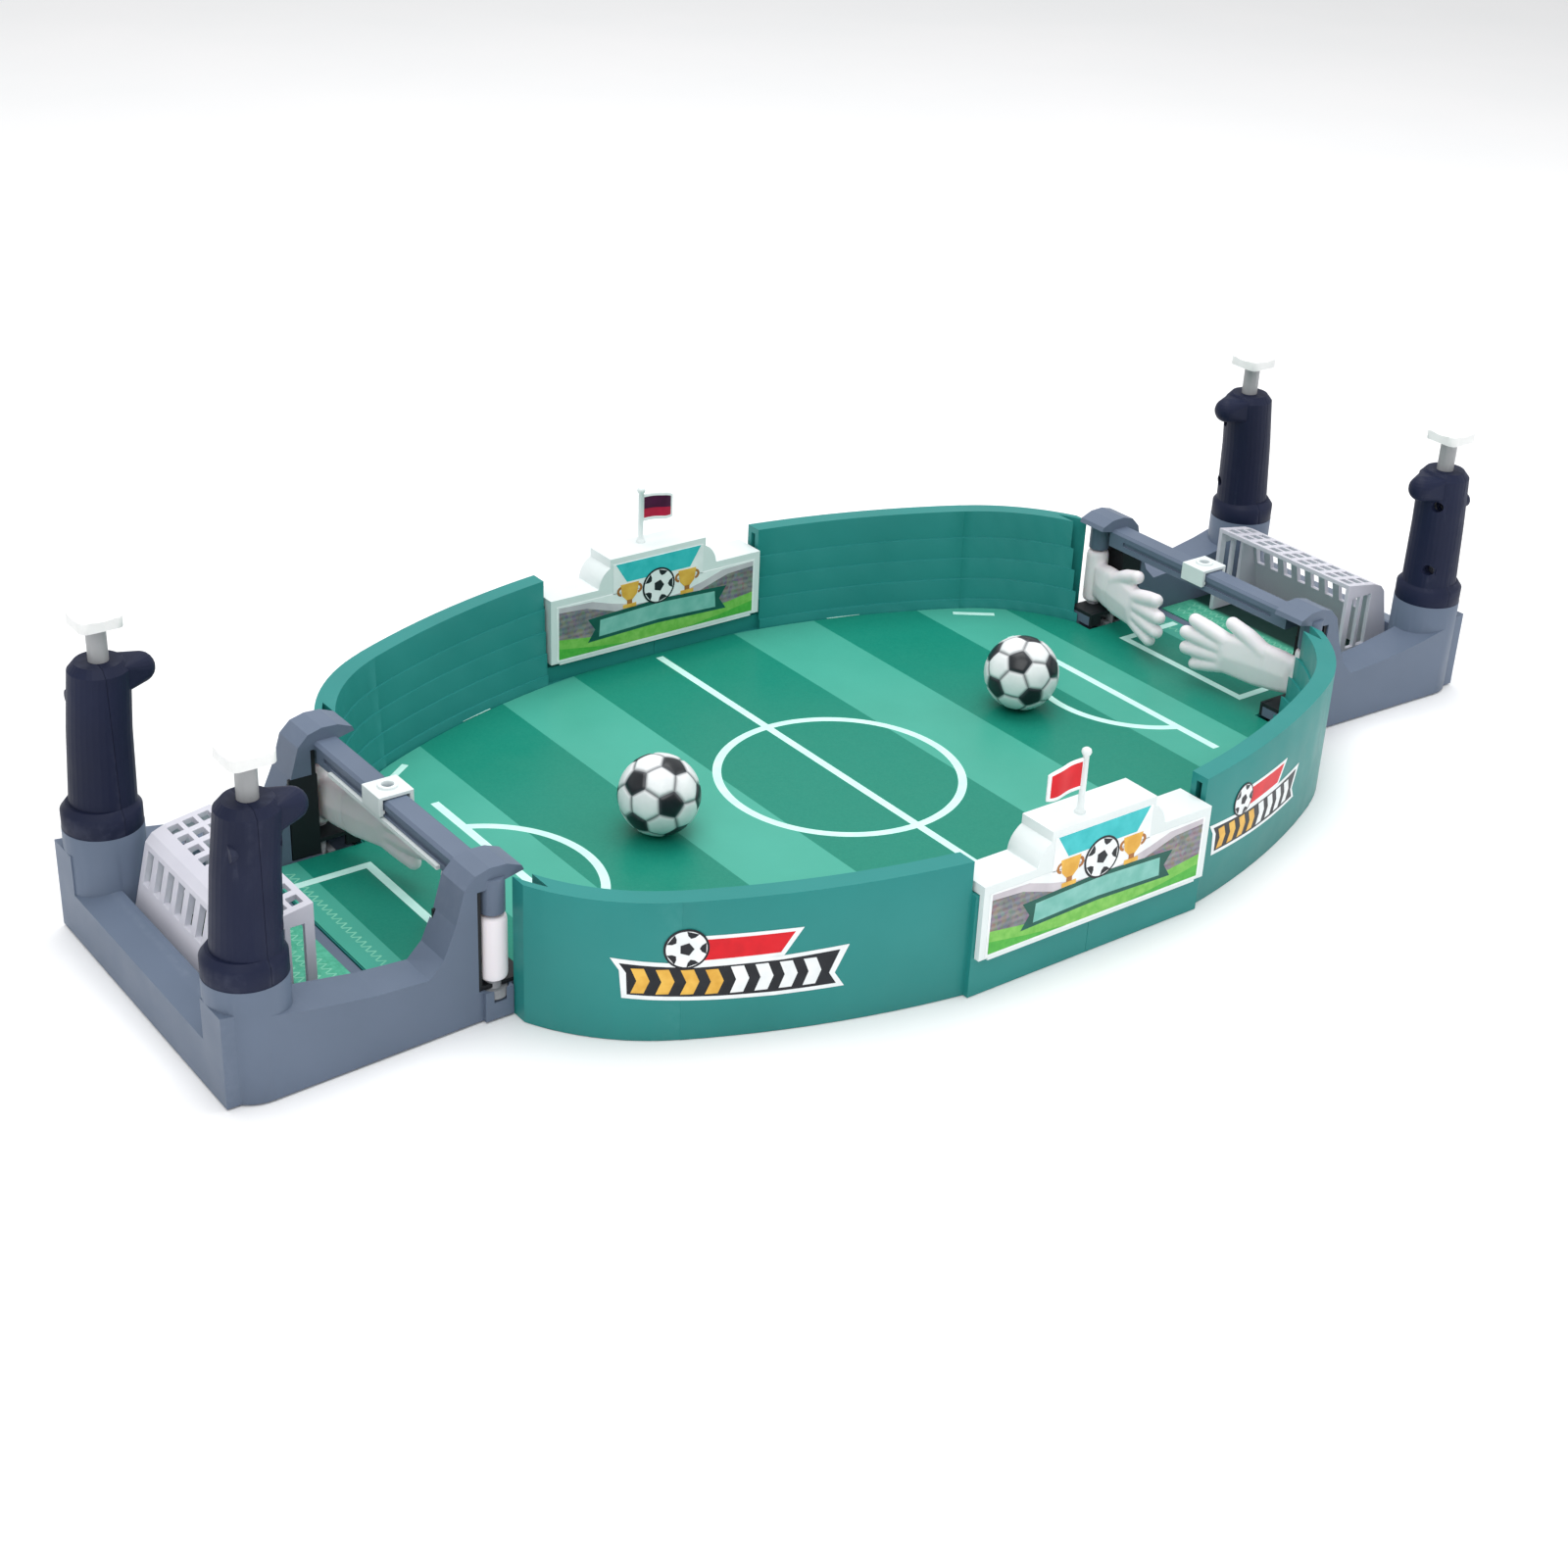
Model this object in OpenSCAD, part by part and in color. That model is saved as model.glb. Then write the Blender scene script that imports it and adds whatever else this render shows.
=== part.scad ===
// Two-player tabletop football game: an oval arena, a goal unit at each end,
// upright grips with thumb buttons and swinging goalkeeper gloves.
// Frame: +Z up, +X towards the away goal, -Y the near side, origin at the
// centre of the footprint on the table. Millimetres.
// Each goal unit is modelled at the +X end; the home unit is the same one
// turned half a revolution about Z.

/* [Arena] */
// Height of the arena wall
wall_h = 38; // [30:1:50]
// Thickness of the wall at its rim
wall_t = 5.5; // [4:0.5:8]
// Radius of the long side arcs
side_r = 251; // [220:1:300]
// Farthest reach of the side arcs from the centre line
side_y = 104.5; // [90:0.5:120]
// Radius of the corner arcs
corner_r = 58.8; // [40:0.2:80]
// Half width of the flat panel that carries each banner
panel_x = 39.5; // [30:0.5:50]
// Distance of that panel from the centre line
panel_y = 103; // [100:0.5:104]

/* [Goal unit] */
// Outer end of the unit
end_x = 210; // [200:1:220]
// Half width at the outer end
end_y = 50; // [45:0.5:60]
// Inner face of the side walls
goal_y = 37.2; // [34:0.1:42]
// Height of the towers that carry the grips
tower_h = 30; // [24:1:36]
// Radius of the towers
tower_r = 10; // [9:0.5:12]

/* [Grips and buttons] */
// Top of the grip
grip_top = 73; // [66:1:80]
// Distance of the button axis from the arena centre
btn_x = 196.7; // [190:0.1:200]
// Distance of the button axis from the centre line
btn_y = 40.7; // [38:0.1:44]
// Radius of the button stem
stem_r = 2.5; // [2:0.1:3]
// Underside of the thumb pad
pad_z = 82.4; // [80:0.1:84]
// Thickness of the thumb pad
pad_h = 2.8; // [2:0.1:4]
// Travel of the button
travel = 5; // [3:0.5:7]

/* [Gloves] */
// Distance of the glove pivot from the arena centre
piv_x = 140; // [136:0.1:144]
// Distance of the glove pivot from the centre line
piv_y = 45.5; // [42:0.1:48]
// Swing of the glove
swing = 45; // [30:1:60]
// Lean of the resting glove towards the pitch
lean = 15; // [5:1:30]
// Reach of the glove from its pivot
reach = 43; // [34:1:46]

/* [Balls] */
// Ball radius
ball_r = 11.3; // [9:0.1:13]

/* [Hidden] */
$fn = 96;
grip_zs = [42, 63];
gap = 0.1;
run = 0.06;
side_c = side_r - side_y;
corner_x = 83.5;
corner_y = 26.5;
tan_x = 109.1;
floor_lo = 2.6;
floor_hi = 4.6;
sheet_hi = 5;
wall_end = 131.5;
skin_end = 136;
tongue_y = 36.9;
tongue_x = 160.5;
crank_r = travel / (2 * sin(swing / 2));
crank_x = piv_x + crank_r * sin(swing / 2);
crank_y = piv_y - crank_r * cos(swing / 2);
screw_xs = [152, 182];
screw_y = 45.3;
link_lo = 2.2;
link_hi = 4.8;
wedge_z = 10.2;
grey = [0.40, 0.45, 0.54];
navy = [0.10, 0.11, 0.20];
green = [0.16, 0.52, 0.46];
white = [0.93, 0.93, 0.93];
black = [0.06, 0.06, 0.07];
steel = [0.70, 0.71, 0.73];

// ---- placing -------------------------------------------------------------

module at_home() { rotate([0, 0, 180]) children(); }
module other_side() { mirror([0, 1, 0]) children(); }
module both_sides() { children(); other_side() children(); }
module box(lo, hi) { translate(lo) cube(hi - lo); }

// ---- arena ---------------------------------------------------------------

// Plan outline of the arena, drawn in by d
module plan(d) {
    intersection() {
        translate([0, -side_c]) circle(side_r - d, $fn = 360);
        translate([0, side_c]) circle(side_r - d, $fn = 360);
        square([2 * (tan_x - 0.4347 * d), 240], center = true);
    }
    for (sx = [-1, 1], sy = [-1, 1])
        translate([sx * corner_x, sy * corner_y]) circle(corner_r - d, $fn = 180);
    square([2 * (corner_x + corner_r - d), 2 * corner_y], center = true);
}

module ring(d0, d1, z0, z1, x1) {
    intersection() {
        translate([0, 0, z0]) linear_extrude(z1 - z0) difference() { plan(d0); plan(d1); }
        box([0, -120, 0], [x1, 120, 60]);
    }
}

// Inner face of the wall steps out in four tiers
module wall() {
    ring(0, wall_t, 0, wall_h, wall_end);
    ring(0, 2, 0, wall_h, skin_end);
    for (i = [1:4]) ring(wall_t - 0.2, wall_t + 0.6 * i, 2, 36 - 7 * i, wall_end);
}

module panel() {
    box([0, panel_y - 6, 0], [panel_x, panel_y, 29]);
    box([0, panel_y - 8, 0], [panel_x, panel_y - 5.8, 9.5]);
}

module arena_half() {
    color(green) difference() {
        union() {
            difference() {
                wall();
                both_sides() box([-1, panel_y - 12, -1], [panel_x, 110, 60]);
            }
            both_sides() panel();
            // floor and the tongue that runs into the goal
            translate([0, 0, floor_lo]) linear_extrude(floor_hi - floor_lo) intersection() {
                plan(2);
                translate([0, -110]) square([wall_end, 220]);
            }
            box([wall_end - 1, -tongue_y, floor_lo], [tongue_x, tongue_y, floor_hi]);
            // ribs under the floor
            for (x = [22, 66, 110]) box([x, -70, 0.6], [x + 1.6, 70, floor_lo + 0.1]);
            for (y = [-35, 35]) box([4, y - 0.8, 0.6], [120, y + 0.8, floor_lo + 0.1]);
        }
        // hollow between the wall's two skins, open below
        ring(1.8, wall_t - 1.8, -1, wall_h - 2, wall_end - 1.8);
        box([-1, -120, -1], [gap / 2, 120, 60]);
    }
}

module pitch_sheet() {
    color([0.12, 0.56, 0.45]) difference() {
        translate([0, 0, floor_hi + 0.02]) linear_extrude(sheet_hi - floor_hi) {
            intersection() { plan(8.4); square([2 * 131, 240], center = true); }
            square([2 * (tongue_x - 0.3), 2 * (tongue_y - 0.2)], center = true);
        }
        both_sides() box([-panel_x - 1, panel_y - 8.2, 0], [panel_x + 1, 110, 10]);
    }
}

// ---- banners and flags ---------------------------------------------------

module banner_outline() {
    square([77, 21.5], center = false);
    translate([21, 0]) square([35, 30.5]);
    for (x = [24.5, 52.5]) translate([x, 21]) circle(7.6, $fn = 48);
}

module banner_face() {
    translate([-38.5, 10.5]) difference() {
        banner_outline();
        for (x = [-0.01, 74.01]) translate([x, -0.01]) square([3, 0.6]);
    }
}

// x0 is the place of the flag pole along the banner
module banner_bracket(x0) {
    color(white) difference() {
        translate([0, panel_y + 1.7, 0]) rotate([90, 0, 0]) linear_extrude(11.4) banner_face();
        // slot that fits over the low wall
        box([-39, panel_y - 8.2, 0], [39, panel_y + gap, 9.8]);
        box([-39, panel_y - 6.1, 0], [39, panel_y + gap, 29.2]);
        // socket for the flag pole
        translate([x0, panel_y - 2.5, 36]) cylinder(r = 1.05, h = 10);
        box([-15, panel_y - 6, 29], [15, panel_y - 0.2, 35]);
    }
}

module sticker_outline() {
    translate([-36.5, 11.6]) square([73, 18]);
    translate([-16.5, 20]) square([33, 19]);
}

module banner_stickers() {
    color([0.72, 0.80, 0.72]) {
        translate([0, panel_y + 2.02, 0]) rotate([90, 0, 0]) linear_extrude(0.3) sticker_outline();
        translate([0, panel_y - 9.72, 0]) rotate([90, 0, 0]) linear_extrude(0.3) sticker_outline();
    }
}

module flag(tone, x0) {
    color(tone) translate([x0, panel_y - 2.5, 0]) {
        translate([0, 0, 36.1]) cylinder(r = 1, h = 21.4);
        translate([0, 0, 57.4]) cylinder(r = 1.35, h = 1.6);
        translate([0.8, -0.3, 47]) cube([11.7, 0.6, 9.2]);
    }
}

// Thin label on the curved outside of the wall, from x0 to x1
module decal(x0, x1) {
    intersection() {
        translate([0, 0, 9]) linear_extrude(23) difference() { plan(-0.3); plan(-0.04); }
        box([x0, 40, 9], [x1, 120, 32]);
    }
}

module wall_decals() {
    color([0.85, 0.25, 0.22]) for (a = [0, 180]) rotate([0, 0, a]) {
        decal(70, 122);
        other_side() decal(44, 92);
    }
}

// ---- goal unit -----------------------------------------------------------

// Side elevation of one side wall, post and cap
module side_profile() {
    polygon([[143.4, 0.4], [end_x, 0.4], [end_x, 24.5], [203, 23.7], [189, 20.6], [172, 18],
             [158.5, 17], [154.5, 21], [151, 29], [148.5, 37.5], [145.5, 40.5], [141.5, 41.6],
             [137, 41.4], [133, 39.8], [132.4, 38.5], [143.4, 36]]);
}

module extrude_y(y0, y1) {
    translate([0, y1, 0]) rotate([90, 0, 0]) linear_extrude(y1 - y0) children();
}

module side_wall() {
    extrude_y(goal_y, 47.6) side_profile();
    box([132, 38.4, 0.4], [144, 47.2, 8.4]);
    box([136.3, 46, 0.4], [144, 48.8, 8.4]);
    // outer skin widens towards the outer end, with a round corner
    intersection() {
        extrude_y(goal_y, end_y) side_profile();
        linear_extrude(60) polygon([[143.4, 40], [end_x, 40], [end_x, end_y], [200, end_y], [143.4, 47.6]]);
        linear_extrude(60) {
            translate([end_x - tower_r, end_y - tower_r]) circle(tower_r);
            translate([130, 0]) square([end_x - tower_r - 130, end_y]);
            translate([130, 0]) square([end_x - 130, end_y - tower_r]);
        }
    }
    translate([end_x - tower_r, end_y - tower_r, 0.4]) cylinder(r = tower_r, h = tower_h - 0.4);
}

// Room inside a side wall for the link, with the tower above it
module side_hollow() {
    box([131, 37.3, 1.7], [146, 43.2, 5.4]);
    difference() {
        box([144.5, 38.9, 1], [203, 45.4, 13.6]);
        for (x = screw_xs) translate([x, screw_y, 0]) cylinder(r = 2.1, h = 20);
    }
    for (x = screw_xs) translate([x, screw_y, -1]) cylinder(r = 1.1, h = 9.4);
    box([186, 38.5, 1], [205, 44, 13.6]);
    linear_extrude(1.8) cover_plan(0.2);
    translate([end_x - tower_r, end_y - tower_r, 15.4]) cylinder(r = 8.1, h = 20);
    translate([btn_x, btn_y, 1]) cylinder(r = stem_r + 0.4, h = 16);
    // crank room, shaft bearings and the bracket's seat
    translate([piv_x, piv_y, 5]) cylinder(r = 3.7, h = 4);
    translate([piv_x, piv_y, 2.6]) cylinder(r = 2 + run, h = 17);
    box([piv_x - 5.6, 37.3, 4.9], [piv_x + 5.6, piv_y, 8.5]);
    box([143.3, 36, 8.5], [145.1, 48, 36]);
    box([143.3, 36, 5], [152, 38.4, 29]);
}

module goal_frame() {
    color(grey) difference() {
        union() {
            both_sides() side_wall();
            // rear ledge
            extrude_y(-40, 40) polygon([[200.6, 0.4], [end_x, 0.4], [end_x, 13.5],
                                           [202, 15.6], [200.6, 15.6]]);
            // floor of the goal
            box([161, -goal_y - 1, floor_lo], [201, goal_y + 1, floor_hi]);
            // crossbar
            extrude_y(-goal_y - 1, goal_y + 1) polygon([[137, 32.6], [144, 32.6], [144, 37.4],
                                                        [143.2, 38.2], [137.8, 38.2], [137, 37.4]]);
            // boss for the top of each crank shaft
            both_sides() translate([piv_x, piv_y, 28.9]) cylinder(r = 3.2, h = 9.5);
            // ledge that carries the edge of the arena's tongue
            both_sides() box([146, 33, 0.6], [161.5, goal_y + 1, 2.5]);
        }
        both_sides() side_hollow();
        both_sides() translate([piv_x, piv_y, 20]) cylinder(r = 2 + run, h = 15.4);
        // guide grooves for the score slider
        for (x = [136.5, 143.4]) box([x, -32, 34.4], [x + 1.1, 32, 35.8]);
        // seat for the score strip
        box([143.3, -28.2, 32.3], [144.2, 28.2, 33.8]);
        // hollow under the rear ledge
        box([202.4, -29.5, 0], [end_x - 1.8, 29.5, 11.6]);
        linear_extrude(1.8) translate([161.8, -38]) square([end_x - 1.2 - 161.8, 76]);
    }
}

module goal_mat() {
    color([0.33, 0.69, 0.62]) difference() {
        box([164, -tongue_y, floor_hi + 0.02], [199, tongue_y, sheet_hi]);
        both_sides() translate([end_x - tower_r, end_y - tower_r]) cylinder(r = tower_r + 0.3, h = 20);
    }
}

// Outline of the base cover on one side, grown by g
module cover_plan(g) {
    translate([end_x - tower_r, end_y - tower_r]) circle(tower_r - 1.4 + g);
    polygon([[144 - g, 38.6 - g], [end_x - tower_r, 36], [end_x - tower_r, end_y - 1.4 + g],
             [144 - g, 46 + g]]);
    translate([188, 30]) square([end_x - 1.4 + g - 188, 10]);
}

module base_cover() {
    color(grey) difference() {
        union() {
            both_sides() linear_extrude(1.6) cover_plan(0);
            box([162, -37.5, 0], [end_x - 1.4, 37.5, 1.6]);
        }
        both_sides() for (x = screw_xs) translate([x, screw_y, -1]) cylinder(r = 1.15, h = 4);
        for (y = [-24:8:24]) box([168, y - 1.5, -1], [190, y + 1.5, 3]);
    }
}

module base_screws() {
    color(steel) both_sides() for (x = screw_xs) translate([x, screw_y, 0]) difference() {
        translate([0, 0, 0.1]) cylinder(r = 1.04, h = 7.6);
        for (a = [0, 90]) rotate([0, 0, a]) box([-0.7, -0.15, 0], [0.7, 0.15, 0.6]);
    }
}

// Moulded net: slotted back, perforated curved top, solid cheeks
module net_profile(d) {
    polygon([[200 - d, 5.2], [194.4 - d, 28.6 - d], [192.6 - d, 30.6 - d],
             [189 - d, 32 - d], [177, 34 - d], [177, 5.2]]);
}

module goal_net() {
    color(white) difference() {
        extrude_y(-28, 28) net_profile(0);
        extrude_y(-26.6, 26.6) translate([-0.1, -0.1]) net_profile(1.4);
        box([170, -26.6, 0], [178, 26.6, 32.5]);
        // slots in the upper back
        for (i = [0:8]) box([193, -24 + 6 * i - 1.7, 18.6], [200, -24 + 6 * i + 1.7, 27.2]);
        // holes in the top
        for (i = [0:8], x = [178.6, 182.6, 186.6])
            box([x, -24 + 6 * i - 1.9, 28], [x + 2.8, -24 + 6 * i + 1.9, 40]);
        // windows in the cheeks
        both_sides() for (x = [179.5, 184.5]) box([x, 26, 12], [x + 3.6, 29, 29]);
    }
}

module hand_brackets() {
    color(black) both_sides() difference() {
        union() {
            box([132, 38.5, 8.5], [143.2, 47.2, 9.6]);
            box([132, 37.3, 5.3], [136.2, 38.3, 9.6]);
            box([136, 37.3, 8.5], [145, 38.6, 9.6]);
            box([143, 38.5, 8.5], [145, 47.2, 9.6]);
            box([143.9, 37.3, 8.5], [145, 47.2, 35.6]);
            box([143.5, 37.3, 5.3], [151.6, 38.3, 28.8]);
        }
        translate([piv_x, piv_y, 0]) cylinder(r = 2 + run, h = 20);
    }
}

module score_strip() {
    color(white) box([143.35, -28, 32.5], [144.9, 28, 33.6]);
}

module score_slider() {
    color(white) translate([0, -4, 0]) difference() {
        union() {
            box([135.6, -4.6, 34], [145.4, 4.6, 39.4]);
            translate([140.5, 0, 39.3]) cylinder(r = 2.6, h = 0.9);
        }
        box([136.8, -5, 35.6], [144.2, 5, 38.35]);
        box([137.25, -5, 34.3], [143.75, 5, 36]);
        box([136.8, -5, 30], [144.2, 5, 34.6]);
        translate([140.5, 0, 37]) cylinder(r = 1.6, h = 5);
    }
}

// ---- grips ---------------------------------------------------------------

module grip_body(d) {
    hull() {
        translate([199.4, 40.1, 34]) cylinder(r = 8.3 - d, h = 1, $fn = 32);
        translate([198.3, 40.4, 55]) cylinder(r = 7.8 - d, h = 1, $fn = 32);
    }
    hull() {
        translate([198.3, 40.4, 55]) cylinder(r = 7.8 - d, h = 1, $fn = 32);
        translate([196.9, 40.7, grip_top - 4]) cylinder(r = 7.5 - d, h = 2 - d / 4, $fn = 32);
        translate([196.9, 40.7, grip_top - 3]) cylinder(r = 5.8 - d, h = 3 - 1.3 * d, $fn = 32);
    }
}

module grip_shell(front) {
    difference() {
        intersection() {
            union() {
                grip_body(0);
                // collar that caps the tower
                translate([end_x - tower_r, end_y - tower_r, tower_h]) rotate_extrude()
                    polygon([[0, 0], [9.9, 0], [9.9, 4.6], [8.4, 6.6], [0, 6.6]]);
                translate([end_x - tower_r, end_y - tower_r, 26.5]) cylinder(r = 8, h = 4);
                // horn that the thumb hooks over
                hull() {
                    translate([195.4, 40.7, 65.2]) cylinder(r = 5.8, h = grip_top - 66.4, $fn = 32);
                    translate([186.9, 40.7, 68.7]) sphere(3.9, $fn = 24);
                }
            }
            if (front) box([170, 20, 20], [198, 60, 90]);
            else box([198 + gap, 20, 20], [220, 60, 90]);
        }
        grip_body(1.7);
        translate([end_x - tower_r, end_y - tower_r, 20]) cylinder(r = 7.25, h = 10);
        translate([end_x - tower_r, end_y - tower_r, 31.6]) cylinder(r = 6.6, h = 5);
        translate([btn_x, btn_y, 20]) cylinder(r = stem_r + run, h = 60);
        if (front) for (z = grip_zs) translate([180, btn_y + 3.7, z]) rotate([0, 90, 0])
            cylinder(r = 1.65, h = 15.6);
    }
}

// Screw bosses inside the shells, beside the button stem
module grip_bosses(front) {
    difference() {
        for (z = grip_zs) translate([0, btn_y + 3.7, z]) rotate([0, 90, 0]) difference() {
            if (front) translate([0, 0, 193.6]) cylinder(r = 2.2, h = 198 - 193.6);
            else translate([0, 0, 198 + gap]) cylinder(r = 2.2, h = 5.8);
            translate([0, 0, 190]) cylinder(r = 0.95, h = 11.8);
            if (front) translate([0, 0, 180]) cylinder(r = 1.65, h = 15.6);
        }
        translate([btn_x, btn_y, 30]) cylinder(r = stem_r + 0.3, h = 50);
    }
}

module grip_front() { color(navy) { grip_shell(true); grip_bosses(true); } }

module grip_back() { color(navy) { grip_shell(false); grip_bosses(false); } }

module grip_screws() {
    color(steel) both_sides() for (z = grip_zs) translate([0, btn_y + 3.7, z]) rotate([0, 90, 0])
        difference() {
            union() {
                translate([0, 0, 194.5]) cylinder(r = 1.5, h = 1);
                translate([0, 0, 195]) cylinder(r = 0.9, h = 6.3);
            }
            for (a = [0, 90]) rotate([0, 0, a]) box([-0.9, -0.18, 194], [0.9, 0.18, 195]);
        }
}

// ---- button, spring, link, crank and glove -------------------------------

module button() {
    color([0.80, 0.81, 0.82]) translate([btn_x, btn_y, 0]) {
        difference() {
            union() {
                cylinder(r = stem_r, h = pad_z + 0.5);
                translate([0, 0, 28.5]) cylinder(r = 3.7, h = 1.3);
            }
            // slanted foot that drives the link
            translate([0, 0, wedge_z]) rotate([0, 45, 0]) box([-20, -10, -20], [20, 10, 0]);
        }
        difference() {
            translate([0, 0, pad_z]) linear_extrude(pad_h) {
                square([11, 7], center = true);
                square([7, 11], center = true);
                for (x = [-3.5, 3.5], y = [-3.5, 3.5]) translate([x, y]) circle(2);
            }
            translate([0, 0, pad_z + pad_h + 14.6]) sphere(15.9, $fn = 48);
        }
    }
}

module button_spring() {
    color(steel) translate([btn_x, btn_y, 15.6])
        linear_extrude(12.7, twist = -360 * 5, slices = 60, $fn = 6)
            translate([3.2, 0]) circle(0.45, $fn = 6);
}

module link() {
    color([0.55, 0.56, 0.58]) difference() {
        union() {
            box([crank_x - 3.3, crank_y - 1.7, link_lo], [crank_x + 3.3, 42.6, link_hi]);
            box([crank_x, 39.6, link_lo], [200, 42.6, link_hi]);
            // slanted head under the button stem
            extrude_y(38.9, 42.6) polygon([[191.6, link_lo], [204.4, link_lo],
                                           [btn_x - 3.1, wedge_z + 2.95],
                                           [191.6, wedge_z + 2.95]]);
        }
        box([crank_x - 1.3, crank_y - 3, 0], [crank_x + 1.3, crank_y + 2.1, 10]);
    }
}

module crank() {
    color([0.55, 0.56, 0.58]) {
        translate([piv_x, piv_y, 3]) cylinder(r = 2, h = 31.8);
        translate([piv_x, piv_y, 5.7]) cylinder(r = 3.3, h = 2.4);
        translate([piv_x, piv_y, 5.7]) rotate([0, 0, swing / 2 - 90]) translate([0, -1.1, 0])
            cube([crank_r, 2.2, 2.4]);
        translate([crank_x, crank_y, 5.7]) cylinder(r = 1.3, h = 2.4);
        translate([crank_x, crank_y, 2.5]) cylinder(r = 1.2, h = 4);
    }
}

// Glove seen along its palm: u runs from the pivot to the fingertips, z up
module finger(u0, z0, u1, z1, r) {
    hull() {
        translate([u0, 0, z0]) sphere(r, $fn = 16);
        translate([u1, 0, z1]) sphere(r * 0.85, $fn = 16);
    }
}

module hand() {
    color(white) translate([piv_x, piv_y, 0]) rotate([0, 0, -90 - lean]) difference() {
        union() {
            translate([0, 0, 10.2]) cylinder(r = 3.6, h = 18);
            hull() {
                translate([2, 0, 12.2]) cylinder(r = 3, h = 12.6, $fn = 24);
                translate([16, 0, 11.2]) cylinder(r = 3, h = 15, $fn = 24);
                translate([29, 0, 12]) cylinder(r = 2.7, h = 13, $fn = 24);
            }
            finger(14, 24, 26.5, 29, 2.5);
            finger(28, 23.4, reach - 4.4, 26.1, 2.3);
            finger(28, 20, reach - 1.8, 21.1, 2.3);
            finger(28, 16.6, reach - 2.4, 16, 2.3);
            finger(27, 13.8, reach - 6, 11.4, 2.2);
        }
        translate([0, 0, 0]) cylinder(r = 2.05, h = 40);
    }
}

// ---- balls ---------------------------------------------------------------

module ball(x, y) {
    color(white) translate([x, y, sheet_hi + 0.03 + ball_r]) rotate_extrude()
        difference() {
            circle(ball_r);
            translate([-2 * ball_r, -ball_r]) square([2 * ball_r, 2 * ball_r]);
        }
}

// ---- one line per node ---------------------------------------------------

at_home() arena_half();  // arena_half_home
arena_half();  // arena_half_away
pitch_sheet();
at_home() banner_bracket(5);  // banner_bracket_near
banner_bracket(-2);  // banner_bracket_far
at_home() banner_stickers();  // banner_stickers_near
banner_stickers();  // banner_stickers_far
at_home() flag([0.90, 0.12, 0.15], 5);  // flag_near
flag([0.55, 0.10, 0.25], -2);  // flag_far
wall_decals();
at_home() goal_frame();  // goal_frame_home
goal_frame();  // goal_frame_away
at_home() goal_mat();  // goal_mat_home
goal_mat();  // goal_mat_away
at_home() goal_net();  // goal_net_home
goal_net();  // goal_net_away
at_home() base_cover();  // base_cover_home
base_cover();  // base_cover_away
at_home() base_screws();  // base_screws_home
base_screws();  // base_screws_away
at_home() hand_brackets();  // hand_brackets_home
hand_brackets();  // hand_brackets_away
at_home() score_strip();  // score_strip_home
score_strip();  // score_strip_away
at_home() score_slider();  // score_slider_home
translate([0, 4, 0]) score_slider();  // score_slider_away
at_home() grip_front();  // grip_front_home_near
at_home() other_side() grip_front();  // grip_front_home_far
other_side() grip_front();  // grip_front_away_near
grip_front();  // grip_front_away_far
at_home() grip_back();  // grip_back_home_near
at_home() other_side() grip_back();  // grip_back_home_far
other_side() grip_back();  // grip_back_away_near
grip_back();  // grip_back_away_far
at_home() grip_screws();  // grip_screws_home
grip_screws();  // grip_screws_away
at_home() button();  // button_home_near
at_home() other_side() button();  // button_home_far
other_side() button();  // button_away_near
button();  // button_away_far
at_home() button_spring();  // spring_home_near
at_home() other_side() button_spring();  // spring_home_far
other_side() button_spring();  // spring_away_near
button_spring();  // spring_away_far
at_home() link();  // link_home_near
at_home() other_side() link();  // link_home_far
other_side() link();  // link_away_near
link();  // link_away_far
at_home() crank();  // crank_home_near
at_home() other_side() crank();  // crank_home_far
other_side() crank();  // crank_away_near
crank();  // crank_away_far
at_home() hand();  // hand_home_near
at_home() other_side() hand();  // hand_home_far
other_side() hand();  // hand_away_near
hand();  // hand_away_far
ball(-62, 0);  // ball_home
ball(73, 6);  // ball_away
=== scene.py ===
"""Two-player tabletop football game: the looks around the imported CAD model.

Lengths in the helpers are millimetres in the model's own frame (+Z up, +X
towards the away goal, -Y the near side) and become metres in place().
"""
import math

import bmesh
import bpy
from mathutils import Matrix, Vector


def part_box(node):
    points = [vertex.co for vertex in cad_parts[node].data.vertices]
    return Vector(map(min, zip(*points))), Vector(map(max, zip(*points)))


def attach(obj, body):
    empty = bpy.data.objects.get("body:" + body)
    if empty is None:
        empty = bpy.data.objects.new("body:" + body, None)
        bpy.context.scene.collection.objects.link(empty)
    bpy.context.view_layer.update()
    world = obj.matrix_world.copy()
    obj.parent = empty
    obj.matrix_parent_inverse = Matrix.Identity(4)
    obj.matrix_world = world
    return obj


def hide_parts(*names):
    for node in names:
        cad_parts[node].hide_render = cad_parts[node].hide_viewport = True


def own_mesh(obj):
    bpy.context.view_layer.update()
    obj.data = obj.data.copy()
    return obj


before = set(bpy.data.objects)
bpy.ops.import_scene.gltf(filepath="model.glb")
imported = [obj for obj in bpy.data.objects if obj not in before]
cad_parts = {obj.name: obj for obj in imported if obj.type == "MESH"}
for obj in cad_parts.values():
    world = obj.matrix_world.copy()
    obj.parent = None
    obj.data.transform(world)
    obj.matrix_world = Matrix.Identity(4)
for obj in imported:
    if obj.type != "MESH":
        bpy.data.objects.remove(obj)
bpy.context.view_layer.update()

MM = 0.001
TURN = 2 * math.pi
SIDES = {"near": -1, "far": 1}
ENDS = {"home": -1, "away": 1}
CORNERS = [(end, side) for end in ENDS for side in SIDES]


def box_mm(node):
    """Lowest and highest corner of a CAD node, in millimetres."""
    low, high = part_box(node)
    return low / MM, high / MM


# ---- materials -------------------------------------------------------------

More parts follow.
